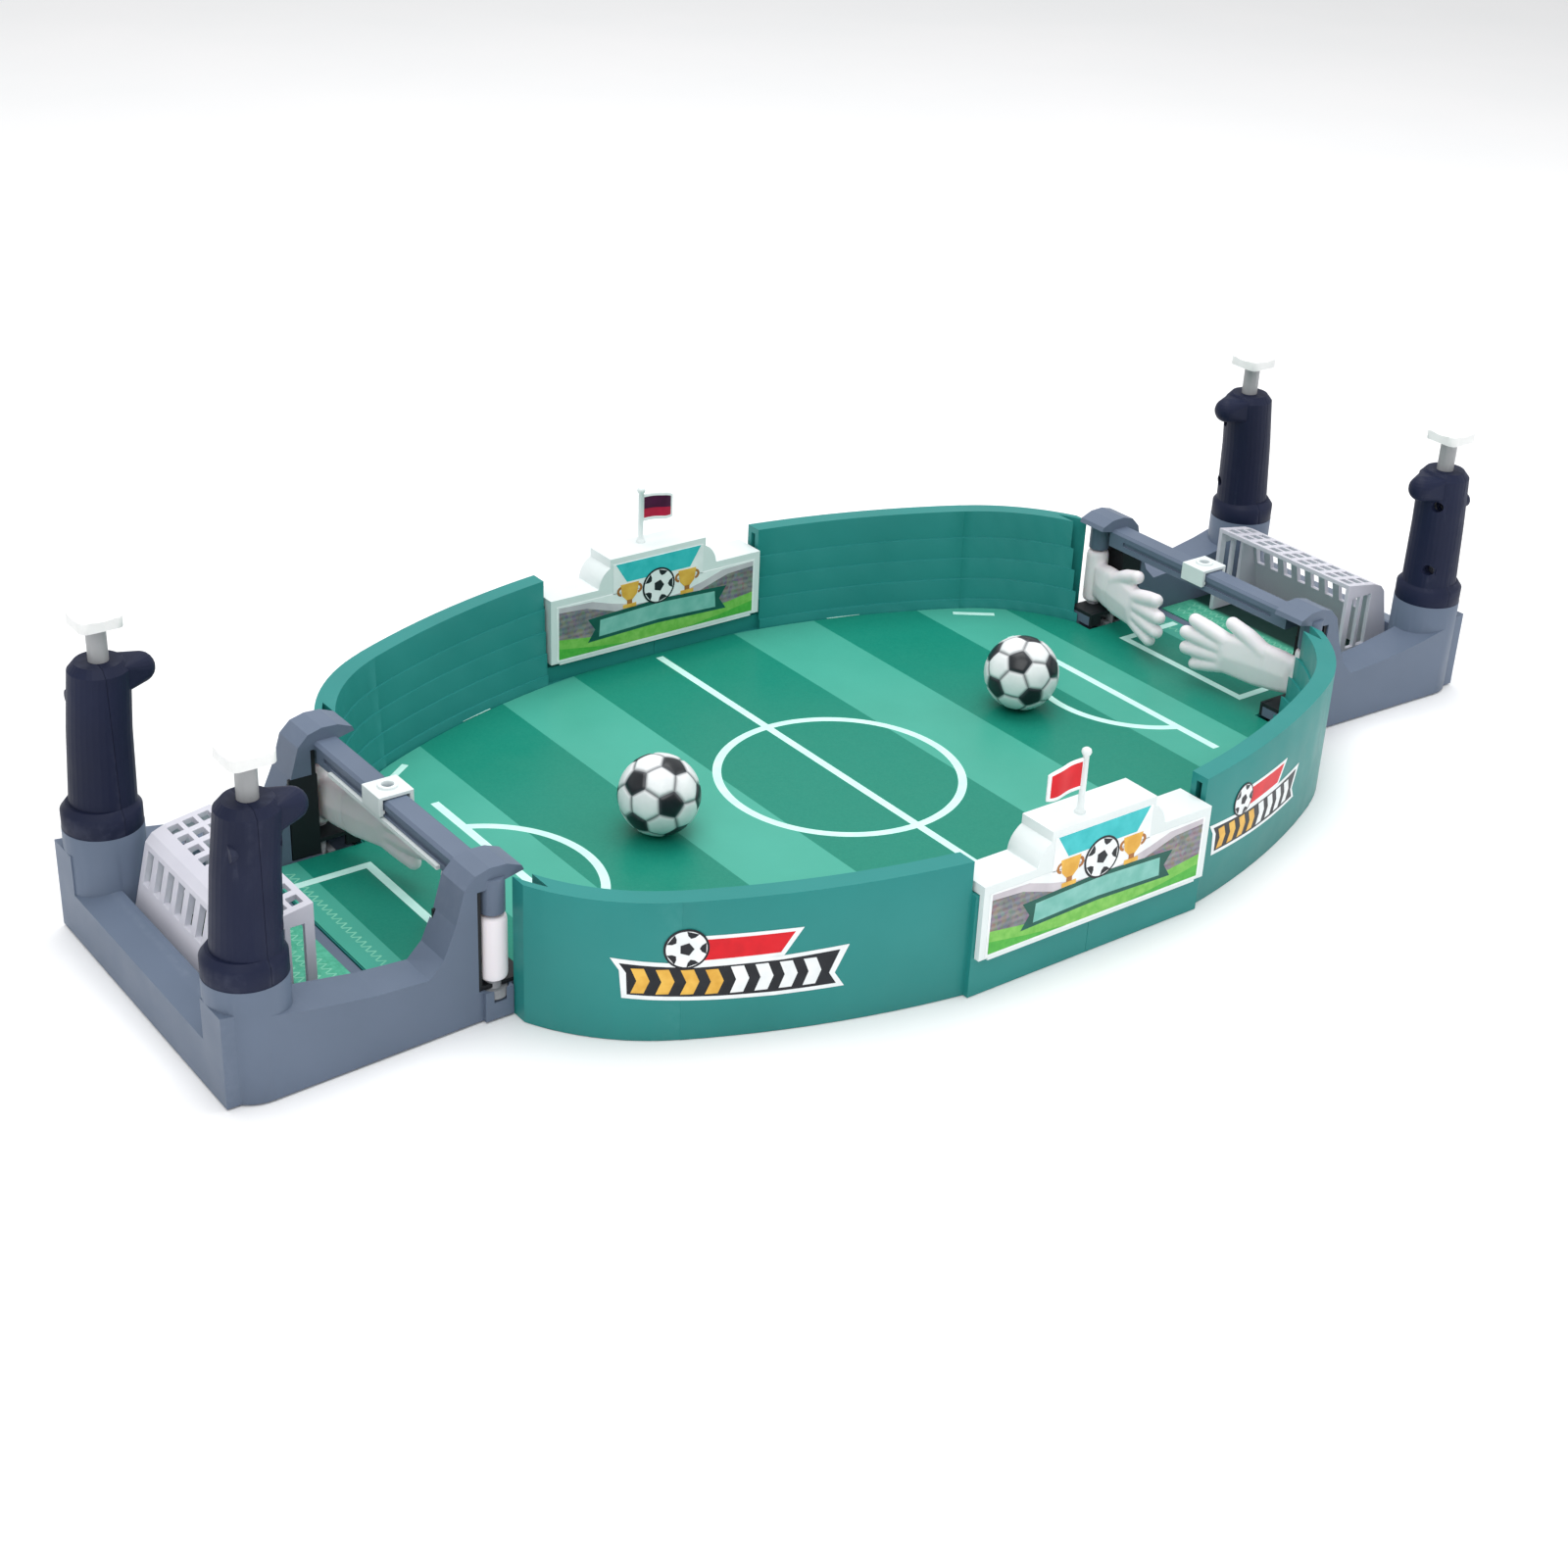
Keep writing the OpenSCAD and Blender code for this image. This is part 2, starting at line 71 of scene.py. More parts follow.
# distances from the centre line along X, in metres as the shaders see them
LIGHT_STRIPES = ((0.030, 0.058), (0.092, 0.118))
TONGUE_START = 0.151
# where the mat fades into painted shade under the net, from the first distance to the second
NET_PAINTED_SHADE = (0.1765, 0.179)
# the thumb pad's share of the button, down from its top
PAD_HEIGHT = 0.0029


def tone(red, green, blue):
    """A display colour, 0 to 255, as the linear colour that shaders take."""
    def linear(value):
        value /= 255
        return value / 12.92 if value <= 0.04045 else ((value + 0.055) / 1.055) ** 2.4
    return (linear(red), linear(green), linear(blue), 1)


class Nodes:
    """Adds and links shader nodes of one material."""

    def __init__(self, name):
        self.material = bpy.data.materials.new(name)
        self.material.use_nodes = True
        self.tree = self.material.node_tree
        self.shader = self.tree.nodes["Principled BSDF"]
        self.place = self.add("ShaderNodeTexCoord").outputs["Object"]

    def add(self, kind, inputs=None, **settings):
        node = self.tree.nodes.new(kind)
        for key, value in settings.items():
            setattr(node, key, value)
        for key, value in (inputs or {}).items():
            if isinstance(value, bpy.types.NodeSocket):
                self.tree.links.new(value, node.inputs[key])
            else:
                node.inputs[key].default_value = value
        return node

    def noise(self, scale, detail=3, roughness=0.5):
        node = self.add("ShaderNodeTexNoise", {"Vector": self.place, "Scale": scale,
                                               "Detail": detail, "Roughness": roughness})
        return node.outputs["Fac"]

    def mapped(self, value, low, high, new_low, new_high):
        node = self.add("ShaderNodeMapRange", {"Value": value, "From Min": low, "From Max": high,
                                               "To Min": new_low, "To Max": new_high})
        return node.outputs["Result"]

    def mix(self, factor, first, second, blend="MIX"):
        node = self.add("ShaderNodeMix", data_type="RGBA", blend_type=blend)
        for socket, value in ((node.inputs[0], factor), (node.inputs[6], first),
                              (node.inputs[7], second)):
            if isinstance(value, bpy.types.NodeSocket):
                self.tree.links.new(value, socket)
            else:
                socket.default_value = value
        return node.outputs[2]

    def maths(self, operation, first, second=0.0):
        node = self.add("ShaderNodeMath", operation=operation)
        for socket, value in zip(node.inputs, (first, second)):
            if isinstance(value, bpy.types.NodeSocket):
                self.tree.links.new(value, socket)
            else:
                socket.default_value = value
        return node.outputs[0]

    def finish(self, colour, rough, rough_swing, grain, grain_depth, **constants):
        """Links colour, a roughness that varies, and a fine moulded grain."""
        patches = self.mapped(self.noise(90, 5), 0.3, 0.7, rough - rough_swing, rough + rough_swing)
        self.tree.links.new(colour, self.shader.inputs["Base Color"])
        self.tree.links.new(patches, self.shader.inputs["Roughness"])
        bump = self.add("ShaderNodeBump", {"Height": self.noise(grain, 3, 0.6),
                                           "Strength": 0.5, "Distance": grain_depth})
        self.tree.links.new(bump.outputs["Normal"], self.shader.inputs["Normal"])
        constants.setdefault("Specular_IOR_Level", 0.28)
        for key, value in constants.items():
            self.shader.inputs[key.replace("_", " ")].default_value = value
        return self.material


def moulded(name, main, second, rough=0.42, swing=0.05, grain=2600, depth=0.00002, wear_and_highlight=0.25,
            mottle=28, **constants):
    """Moulded plastic: two close tones in soft clouds, paler edges that are partly wear and partly
    painted highlight, fine grain.
    """
    nodes = Nodes(name)
    clouds = nodes.mapped(nodes.noise(mottle, 4), 0.35, 0.65, 0, 1)
    colour = nodes.mix(clouds, tone(*main), tone(*second))
    # paler sharp edges by pointiness, broken up by noise: partly wear, partly a painted highlight
    # along the edges
    edge = nodes.mapped(nodes.add("ShaderNodeNewGeometry").outputs["Pointiness"], 0.54, 0.70, 0, wear_and_highlight)
    patchy_wear_and_highlight = nodes.mapped(nodes.noise(420, 4), 0.42, 0.7, 0.2, 1)
    worn_and_highlit = tone(*(channel + (255 - channel) * 0.3 for channel in main))
    colour = nodes.mix(nodes.maths("MULTIPLY", edge, patchy_wear_and_highlight), colour, worn_and_highlit)
    return nodes.finish(colour, rough, swing, grain, depth, **constants)


def metal(name, main, second, rough=0.3):
    """Plain bright metal with a slight variation in tone."""
    nodes = Nodes(name)
    colour = nodes.mix(nodes.mapped(nodes.noise(300, 4), 0.3, 0.7, 0, 1), tone(*main), tone(*second))
    return nodes.finish(colour, rough, 0.08, 4000, 0.00001, Metallic=1.0)


def printed(name, main, second, rough=0.38, mottle=240):
    """Flat printing ink with a little unevenness."""
    nodes = Nodes(name)
    clouds = nodes.mapped(nodes.noise(mottle, 4), 0.35, 0.65, 0, 1)
    colour = nodes.mix(clouds, tone(*main), tone(*second))
    return nodes.finish(colour, rough, 0.04, 3000, 0.000008)


def pitch_material():
    """Mown stripes across the pitch, mirrored about the centre line."""
    nodes = Nodes("pitch_card")
    split = nodes.add("ShaderNodeSeparateXYZ", {"Vector": nodes.place})
    away = nodes.maths("ABSOLUTE", split.outputs["X"])
    stripes = nodes.maths("GREATER_THAN", away, TONGUE_START)
    for start, end in LIGHT_STRIPES:
        stripe = nodes.maths("MULTIPLY", nodes.maths("GREATER_THAN", away, start),
                             nodes.maths("LESS_THAN", away, end))
        stripes = nodes.maths("ADD", stripes, stripe)
    colour = nodes.mix(stripes, tone(*PITCH_DARK), tone(*PITCH_LIGHT))
    clouds = nodes.mapped(nodes.noise(30, 4), 0.3, 0.7, 0, 0.22)
    colour = nodes.mix(clouds, colour, tone(20, 122, 98))
    blades = nodes.mapped(nodes.noise(1500, 4, 0.7), 0.3, 0.7, 0, 0.14)
    colour = nodes.mix(blades, colour, tone(72, 176, 146))
    return nodes.finish(colour, 0.36, 0.05, 2200, 0.00001)


def mat_material():
    """Light printed grass in front of the net; from the net's front edge inwards the mat is painted
    dark as shade under the net.
    """
    nodes = Nodes("print_mat")
    grass = nodes.mix(nodes.mapped(nodes.noise(700, 4, 0.7), 0.35, 0.65, 0, 1),
                      tone(64, 162, 132), tone(88, 184, 154))
    split = nodes.add("ShaderNodeSeparateXYZ", {"Vector": nodes.place})
    away = nodes.maths("ABSOLUTE", split.outputs["X"])
    # painted shade under the net, so that its slots and holes look dark
    painted_shade_under_net = nodes.mapped(away, *NET_PAINTED_SHADE, 0, 1)
    return nodes.finish(nodes.mix(painted_shade_under_net, grass, tone(14, 50, 44)), 0.5, 0.05, 2200, 0.00001)


def ball_material(name, main, second):
    """Ball panels, darker down in the seams by the mesh's own seam attribute."""
    nodes = Nodes(name)
    colour = nodes.mix(nodes.mapped(nodes.noise(260, 4), 0.3, 0.7, 0, 1), tone(*main), tone(*second))
    seam = nodes.add("ShaderNodeAttribute", attribute_name="seam").outputs["Fac"]
    colour = nodes.mix(nodes.maths("MULTIPLY", seam, 0.85), colour, tone(70, 74, 80))
    return nodes.finish(colour, 0.33, 0.06, 2400, 0.00003, Coat_Weight=0.25, Coat_Roughness=0.2)


def button_material():
    """Grey stem, and above it a white thumb pad on the same moulding."""
    nodes = Nodes("plastic_button")
    height = nodes.add("ShaderNodeSeparateXYZ", {"Vector": nodes.place}).outputs["Z"]
    pad_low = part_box("button_home_near")[1].z - PAD_HEIGHT
    stem = nodes.mix(nodes.mapped(nodes.noise(120, 4), 0.35, 0.65, 0, 1),
                     tone(168, 170, 172), tone(156, 158, 160))
    pad = nodes.mix(nodes.mapped(nodes.noise(120, 4), 0.35, 0.65, 0, 1),
                    tone(240, 241, 240), tone(230, 232, 231))
    colour = nodes.mix(nodes.maths("GREATER_THAN", height, pad_low), stem, pad)
    return nodes.finish(colour, 0.36, 0.05, 2400, 0.00002)


def crowd_material():
    """Stands full of spectators, as a speckle of small coloured cells."""
    nodes = Nodes("print_crowd")
    cells = nodes.add("ShaderNodeTexVoronoi", {"Vector": nodes.place, "Scale": 900})
    colour = nodes.mix(0.87, cells.outputs["Color"], tone(112, 104, 110))
    rows = nodes.add("ShaderNodeSeparateXYZ", {"Vector": nodes.place}).outputs["Z"]
    bands = nodes.maths("SINE", nodes.maths("MULTIPLY", rows, 3600.0))
    colour = nodes.mix(nodes.mapped(bands, -1, 1, 0, 0.3), colour, tone(176, 176, 178))
    clouds = nodes.mapped(nodes.noise(160, 3), 0.35, 0.65, 0, 0.45)
    colour = nodes.mix(clouds, colour, tone(74, 84, 88))
    return nodes.finish(colour, 0.4, 0.04, 3000, 0.000008)


PITCH_DARK = (8, 126, 108)
PITCH_LIGHT = (74, 168, 150)

LOOKS = {
    "arena": moulded("plastic_arena", (38, 134, 130), (33, 128, 124), 0.42, wear_and_highlight=0.1,
                     Coat_Weight=0.05, Coat_Roughness=0.35),
    "pitch": pitch_material(),
    "line": printed("print_line", (208, 248, 240), (196, 242, 232)),
    "mat": mat_material(),
    "mat_mark": printed("print_mat_mark", (132, 206, 180), (112, 192, 164)),
    "white": moulded("plastic_white", (228, 236, 236), (220, 229, 229), 0.34, wear_and_highlight=0.05,
                     Coat_Weight=0.2, Coat_Roughness=0.25),
    "frame": moulded("plastic_frame", (101, 114, 134), (95, 108, 127), 0.45, wear_and_highlight=0.15),
    "net": moulded("plastic_net", (222, 222, 232), (212, 212, 223), 0.38, wear_and_highlight=0.05,
                   Transmission_Weight=0.12),
    "steel": metal("metal_screw", (176, 178, 182), (150, 152, 156)),
    "spring": metal("metal_spring", (190, 192, 196), (168, 170, 174), 0.24),
    # the hand brackets are coloured black to paint the shade inside the recess beside each goal post
    "black": moulded("plastic_black_recess_shade", (30, 34, 38), (24, 27, 31), 0.5, wear_and_highlight=0.3),
    "navy": moulded("plastic_navy", (25, 32, 58), (21, 27, 50), 0.55, 0.06, 1900, 0.00004, 0.16,
                    Specular_IOR_Level=0.2),
    "button": button_material(),
    "link": moulded("plastic_link", (140, 143, 148), (128, 131, 136), 0.44, wear_and_highlight=0.3),
    "glove": moulded("plastic_glove", (244, 238, 241), (236, 229, 233), 0.55, 0.06, 1500, 0.00004,
                     0.05, Subsurface_Weight=0.05),
    "ball_white": ball_material("print_ball_white", (240, 242, 243), (228, 231, 233)),
    "ball_black": ball_material("print_ball_black", (24, 28, 33), (32, 36, 41)),
    "red": printed("print_red", (220, 16, 32), (206, 12, 28)),
    "plum": printed("print_plum", (78, 14, 60), (66, 10, 50)),
    "crimson": printed("print_crimson", (188, 26, 66), (172, 22, 58)),
    "crowd": crowd_material(),
    "haze": printed("print_haze", (206, 200, 206), (186, 180, 188), mottle=120),
    "grass": printed("print_grass", (132, 198, 92), (108, 184, 74), mottle=500),
    "grass_deep": printed("print_grass_deep", (86, 182, 70), (72, 170, 62), mottle=700),
    "ribbon_edge": printed("print_ribbon_edge", (22, 92, 80), (18, 82, 72)),
    "ribbon": printed("print_ribbon", (134, 196, 186), (112, 182, 170)),
    "teal": printed("print_teal", (66, 196, 200), (48, 184, 188)),
    "gold": printed("print_gold", (236, 188, 84), (218, 162, 60)),
    "gold_deep": printed("print_gold_deep", (176, 116, 58), (158, 100, 48)),
    "ink": printed("print_ink", (26, 28, 34), (34, 36, 42)),
    "paper": printed("print_paper", (242, 245, 246), (232, 237, 238)),
}

LOOK_OF_NODE = {
    "arena_half": "arena", "pitch_sheet": "pitch", "banner_bracket": "white",
    "goal_frame": "frame", "goal_mat": "mat", "goal_net": "net", "base_cover": "frame",
    "base_screws": "steel", "hand_brackets": "black", "score_strip": "white",
    "score_slider": "white", "grip_front": "navy", "grip_back": "navy", "grip_screws": "steel",
    "button": "button", "spring": "spring", "link": "link", "crank": "link", "hand": "glove",
    "ball": "ball_white", "flag": "red", "wall_decals": "paper", "banner_stickers": "paper",
}
BEVEL_OF_NODE = {
    "arena_half": 0.45, "goal_frame": 0.55, "banner_bracket": 0.35, "goal_net": 0.25,
    "base_cover": 0.25, "grip_front": 0.3, "grip_back": 0.3, "score_slider": 0.25,
    "button": 0.2, "hand_brackets": 0.15, "link": 0.15, "crank": 0.12,
}


def longest_key(name, table):
    """The table's longest key that the node's name starts with."""
    keys = [key for key in table if name.startswith(key)]
    return max(keys, key=len) if keys else None


def dress_cad_nodes():
    """Materials on every CAD node, and rounded edges where they can be seen."""
    for name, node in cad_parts.items():
        look = LOOKS[LOOK_OF_NODE[longest_key(name, LOOK_OF_NODE)]]
        node.data.materials.clear()
        node.data.materials.append(look)
        key = longest_key(name, BEVEL_OF_NODE)
        if key:
            weld = node.modifiers.new("weld", "WELD")
            weld.merge_threshold = 0.00001
            bevel = node.modifiers.new("bevel", "BEVEL")
            bevel.width = BEVEL_OF_NODE[key] * MM
            bevel.segments = 2
            bevel.limit_method = "ANGLE"
            bevel.angle_limit = math.radians(38)
            bevel.harden_normals = True


# ---- meshes ----------------------------------------------------------------

def mesh_data(name, mesh, looks=(), smooth=True):
    """Mesh data from a bmesh, which is freed, with its materials in order."""
    data = bpy.data.meshes.new(name)
    mesh.to_mesh(data)
    mesh.free()
    for look in looks:
        data.materials.append(LOOKS[look])
    if smooth:
        for polygon in data.polygons:
            polygon.use_smooth = True
    return data


def rect(u0, v0, u1, v1):
    """Corners of an upright rectangle."""
    return [(u0, v0), (u1, v0), (u1, v1), (u0, v1)]


def disc(u, v, radius, count=40):
    """Corners of a regular polygon, round enough for a circle by default."""
    return [(u + radius * math.cos(TURN * i / count), v + radius * math.sin(TURN * i / count))
            for i in range(count)]


def arc_band(u, v, inner, outer, start, end, count=24):
    """Part of a ring, between two angles in degrees."""
    angles = [math.radians(start + (end - start) * i / count) for i in range(count + 1)]
    return ([(u + outer * math.cos(a), v + outer * math.sin(a)) for a in angles]
            + [(u + inner * math.cos(a), v + inner * math.sin(a)) for a in reversed(angles)])


def stroke(start, end, width):
    """A straight line of some width."""
    along = (Vector(end) - Vector(start)).normalized()
    across = Vector((-along.y, along.x)) * width / 2
    start, end = Vector(start), Vector(end)
    return [tuple(start - across), tuple(end - across), tuple(end + across), tuple(start + across)]


def prism(outline, low, high, cuts=()):
    """A flat-topped solid on an outline, cut across at each u in cuts so that it can bend."""
    mesh = bmesh.new()
    bottom = [mesh.verts.new((u, v, low)) for u, v in outline]
    top = [mesh.verts.new((u, v, high)) for u, v in outline]
    mesh.faces.new(bottom[::-1])
    mesh.faces.new(top)
    for i in range(len(outline)):
        j = (i + 1) % len(outline)
        mesh.faces.new((bottom[i], bottom[j], top[j], top[i]))
    bmesh.ops.recalc_face_normals(mesh, faces=mesh.faces)
    if cuts:
        bmesh.ops.triangulate(mesh, faces=mesh.faces)
        for u in cuts:
            everything = mesh.verts[:] + mesh.edges[:] + mesh.faces[:]
            bmesh.ops.bisect_plane(mesh, geom=everything, plane_co=(u, 0, 0), plane_no=(1, 0, 0))
    return mesh


def add_object(name, data, body, replaced=()):
    """A piece of the model, riding on a body, in place of the CAD nodes it replaces."""
    piece = bpy.data.objects.new(name, data)
    bpy.context.scene.collection.objects.link(piece)
    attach(piece, body)
    if replaced:
        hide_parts(*replaced)
    return piece


def layered(name, layers, place, body, replaced=(), cuts=()):
    """One piece from (outline, look, low, high) layers, put in place by place(u, v, w)."""
    looks = sorted({look for _, look, _, _ in layers})
    whole = bmesh.new()
    for outline, look, low, high in layers:
        part = prism(outline, low, high, cuts)
        points = {}
        for vert in part.verts:
            points[vert] = whole.verts.new(place(*vert.co))
        for face in part.faces:
            made = whole.faces.new([points[vert] for vert in face.verts])
            made.material_index = looks.index(look)
        part.free()
    bmesh.ops.recalc_face_normals(whole, faces=whole.faces)
    return add_object(name, mesh_data(name, whole, looks, smooth=False), body, replaced)


# ---- pitch lines and goal mats ---------------------------------------------

LINE = 2.5
INK = 0.03
INK_STEP = 0.002


def flat(u, v, w):
    """Lays a print flat: u along X, v along Y, w upwards."""
    return Vector((u, v, w)) * MM


def pitch_lines():
    """White lines printed on the pitch, proud of it by the thickness of the ink."""
    top = box_mm("pitch_sheet")[1].z
    half = LINE / 2
    shapes = [rect(-half, -92, half, 92)]
    shapes += [arc_band(0, 0, 35 - half, 35 + half, start, start + 90) for start in range(0, 360, 90)]
    for s in (-1, 1):
        towards_pitch = 0 if s < 0 else 180
        shapes.append(rect(s * 105 - half, -46, s * 105 + half, 46))
        shapes.append(arc_band(s * 117.5, 0, 32.5 - half, 32.5 + half,
                               towards_pitch - 67, towards_pitch + 67, 48))
        shapes.append(rect(s * 136 - half, -26.7, s * 136 + half, 26.7))
        for t in (-1, 1):
            shapes.append(rect(s * 136, t * 25.5 - half, s * 159, t * 25.5 + half))
            shapes.append(stroke((s * 112, t * 62), (s * 101, t * 70), 2))
            shapes.append(stroke((s * 74, t * 86), (s * 63, t * 89), 2))
    layers = [(shape, "line", top - INK, top + INK + INK_STEP * i) for i, shape in enumerate(shapes)]
    layered("pitch_lines", layers, flat, "table")


def net_marks():
    """Rows of small chevrons printed across each goal floor, on the tongue and on the mat."""
    for end, s in ENDS.items():
        top = box_mm("goal_mat_" + end)[1].z
        layers = []
        for row, x in enumerate((155.2, 168, 171.6, 175.2)):
            for i in range(-13, 14):
                y = i * 2.6 + 1.3 * (row % 2)
                if abs(y) > 33.5:
                    continue
                for t in (-1, 1):
                    bar = stroke((s * (x - 1.1), y), (s * (x + 1.1), y + t * 1.1), 0.42)
                    layers.append((bar, "mat_mark", top - INK, top + INK + INK_STEP * (t + 1)))
        layered("net_marks_" + end, layers, flat, "table")


# ---- banners ---------------------------------------------------------------

# the topmost ink of a banner print, which is flush with the face of the CAD label
PRINT_TOP = 0.45


def banner_layers():
    """One banner face: u runs left to right, v is the height, w is the layer's depth."""
    steps = [0.27, 0.29, 0.31, 0.33, 0.35, 0.37, 0.39]
    layers = [(rect(-36.5, 11.6, 36.5, 29.6), "paper", 0.0, steps[0]),
              (rect(-16.5, 29.4, 16.5, 39), "paper", 0.0, steps[0])]
    for s in (-1, 1):
        layers.append(([(s * 35.8, 13), (0, 13), (0, 24), (s * 8, 24.5), (s * 17, 26.6),
                        (s * 24, 28.8), (s * 35.8, 29.2)], "haze", 0.1, steps[1]))
        layers.append(([(s * 35.8, 13), (s * 6, 13), (s * 8, 21), (s * 17, 24.2),
                        (s * 26, 27), (s * 35.8, 27.6)], "crowd", 0.1, steps[2]))
    layers.append(([(-35.8, 12.3), (35.8, 12.3), (35.8, 18.8), (24, 17.2), (0, 16.8), (-24, 17.2),
                    (-35.8, 18.8)], "grass", 0.1, steps[3]))
    for s in (-1, 1):
        layers.append(([(s * 35.8, 12.3), (s * 10, 12.3), (s * 23, 13.8), (s * 35.8, 15.8)],
                       "grass_deep", 0.2, steps[4]))
    layers.append(([(-15.6, 38.9), (15.6, 38.9), (11.6, 32.6), (-11.6, 32.6)], "teal", 0.1, steps[2]))
    layers += ribbon_layers(steps)
    for side in (-1, 1):
        layers += trophy_layers(side * 10.6, steps)
    layers += ball_badge(0, 28.9, 5.9, steps[6])
    return layers


def ribbon_layers(steps):
    """A blank scroll with swallow-tailed ends across the middle."""
    edge = [(-25.6, 15.6), (-23, 19.4), (-25.6, 23.2), (-18, 23.6), (0, 24.4), (18, 23.6),
            (25.6, 23.2), (23, 19.4), (25.6, 15.6), (0, 16.4)]
    fill = [(-21.6, 16.8), (0, 17.6), (21.6, 16.8), (21.2, 22.2), (0, 23.1), (-21.2, 22.2)]
    return [(edge, "ribbon_edge", 0.1, steps[4]), (fill, "ribbon", 0.2, steps[5])]


def trophy_layers(u, steps):
    """A cup: bowl with two handles, stem and foot."""
    bowl = [(u - 3.3, 32), (u + 3.3, 32), (u + 2.7, 28.2), (u + 1, 26.4), (u - 1, 26.4),
            (u - 2.7, 28.2)]
    handles = [arc_band(u - 3, 29.8, 0.8, 1.6, 90, 270, 10),
               arc_band(u + 3, 29.8, 0.8, 1.6, -90, 90, 10)]
    layers = [(handle, "gold_deep", 0.2, steps[3]) for handle in handles]
    layers.append((bowl, "gold", 0.2, steps[4]))
    layers.append((rect(u - 0.9, 24.8, u + 0.9, 26.6), "gold_deep", 0.2, steps[5]))
    layers.append((rect(u - 2.4, 24, u + 2.4, 25.2), "gold", 0.2, steps[6]))
    return layers


def ball_badge(u, v, radius, base):
    """A football drawn flat: dark rim, white disc, one whole panel and five cut by the rim."""
    layers = [(disc(u, v, radius), "ink", 0.1, base),
              (disc(u, v, radius * 0.9), "paper", 0.2, base + 0.03),
              (disc(u, v, radius * 0.33, 5), "ink", 0.3, base + 0.06)]
    for k in range(5):
        angle = TURN * k / 5
        points = [(0.9, -0.32), (0.68, -0.24), (0.56, 0), (0.68, 0.24), (0.9, 0.32)]
        outline = [(u + radius * r * math.cos(angle + a), v + radius * r * math.sin(angle + a))
                   for r, a in points]
        layers.append((outline, "ink", 0.3, base + 0.06))
    return layers


def banners():
    """The print on both faces of both banners."""
    for side, t in SIDES.items():
        low, high = box_mm("banner_stickers_" + side)
        faces = {"outer": (t, high.y if t > 0 else low.y), "inner": (-t, low.y if t > 0 else high.y)}
        for face, (normal, y) in faces.items():
            def place(u, v, w, normal=normal, y=y):
                return Vector((-normal * u, y + normal * (w - PRINT_TOP), v)) * MM
            replaced = ["banner_stickers_" + side] if face == "outer" else ()
            layered("banner_print_%s_%s" % (side, face), banner_layers(), place, "table",
                    replaced)


# ---- wall emblems ----------------------------------------------------------

EMBLEM_MIDDLE = 14.2
# scale, and arc length along the wall from the centre line to the badge's middle
EMBLEM_PLACES = {("home", "near"): (1.06, 101), ("away", "far"): (1.06, 101),
                 ("home", "far"): (0.94, 69), ("away", "near"): (0.94, 69)}


def emblem_layers():
    """A generic badge: football, slanted ribbon and a jagged plate of gold and white chevrons."""
    layers = [([(-27, 16.4), (-25, 13.4), (-24.4, 6.2), (-3, 5), (10, 4.6), (26.6, 4.6), (24.2, 8.4),
                (27.4, 15.4), (12, 14.8), (-8, 14.8)], "paper", 0.0, 0.12)]
    layers.append(([(-25, 15.2), (-23.4, 12.8), (-23.2, 7.2), (-3, 6), (10, 5.6), (24.6, 5.6),
                    (22.8, 8.6), (25.2, 14.4), (12, 13.8), (-8, 13.8)], "ink", 0.05, 0.16))
    for k in range(4):
        left, low = -22.4 + 5.5 * k, 7.6 - 0.3 * k
        layers.append((chevron(left, low, 4.2, low + 6.4), "gold", 0.1, 0.2))
    for k in range(4):
        left, low = -0.2 + 5.6 * k, 6.5 - 0.05 * k
        layers.append((chevron(left, low, 4.3, low + 6.9), "paper", 0.1, 0.2))
    layers.append(([(-8, 14.6), (12, 14.9), (16.4, 21.6), (-6, 21.8)], "paper", 0.0, 0.14))
    layers.append(([(-7, 15.6), (11.2, 15.8), (14.4, 20.8), (-6, 20.9)], "red", 0.05, 0.18))
    layers += ball_badge(-10.2, 18.8, 5.1, 0.22)
    return layers


def chevron(left, low, width, high):
    """A broad arrowhead band that points to the right."""
    tip, middle = 1.3, (low + high) / 2
    return [(left, low), (left + width - tip, low), (left + width, middle),
            (left + width - tip, high), (left, high), (left + tip, middle)]


# the wall's outer face in plan: a long side arc that meets a corner arc at TANGENT_X
SIDE_R, SIDE_Y = 251, 104.5
CORNER_R, CORNER_X, CORNER_Y = 58.8, 83.5, 26.5
TANGENT_X = 109.1


def wall_point(length, outward):
    """Point of the wall's outer face, by the arc length along it from the centre line."""
    turn_length = SIDE_R * math.asin(TANGENT_X / SIDE_R)
    if length <= turn_length:
        angle = length / SIDE_R
        radius = SIDE_R + outward
        return radius * math.sin(angle), SIDE_Y - SIDE_R + radius * math.cos(angle)
    angle = math.asin((TANGENT_X - CORNER_X) / CORNER_R) + (length - turn_length) / CORNER_R
    radius = CORNER_R + outward
    return CORNER_X + radius * math.sin(angle), CORNER_Y + radius * math.cos(angle)


def emblems():
    """Each half of the arena carries two badges, one of them further round its corner."""
    low, high = box_mm("wall_decals")
    middle_z = (low.z + high.z) / 2
    cuts = [-27 + 2.5 * i for i in range(23)]
    for corner, (scale, middle) in EMBLEM_PLACES.items():
        s, t = ENDS[corner[0]], SIDES[corner[1]]

        def place(u, v, w, s=s, t=t, middle=middle, scale=scale):
            # read from outside, left to right is +X on the near side and -X on the far side
            x, y = wall_point(middle - s * t * u * scale, w + 0.02)
            return Vector((s * x, t * y, middle_z + (v - EMBLEM_MIDDLE) * scale)) * MM
        replaced = ["wall_decals"] if corner == ("home", "near") else ()
        layered("emblem_%s_%s" % corner, emblem_layers(), place, "table", replaced, cuts)


# ---- flags -----------------------------------------------------------------

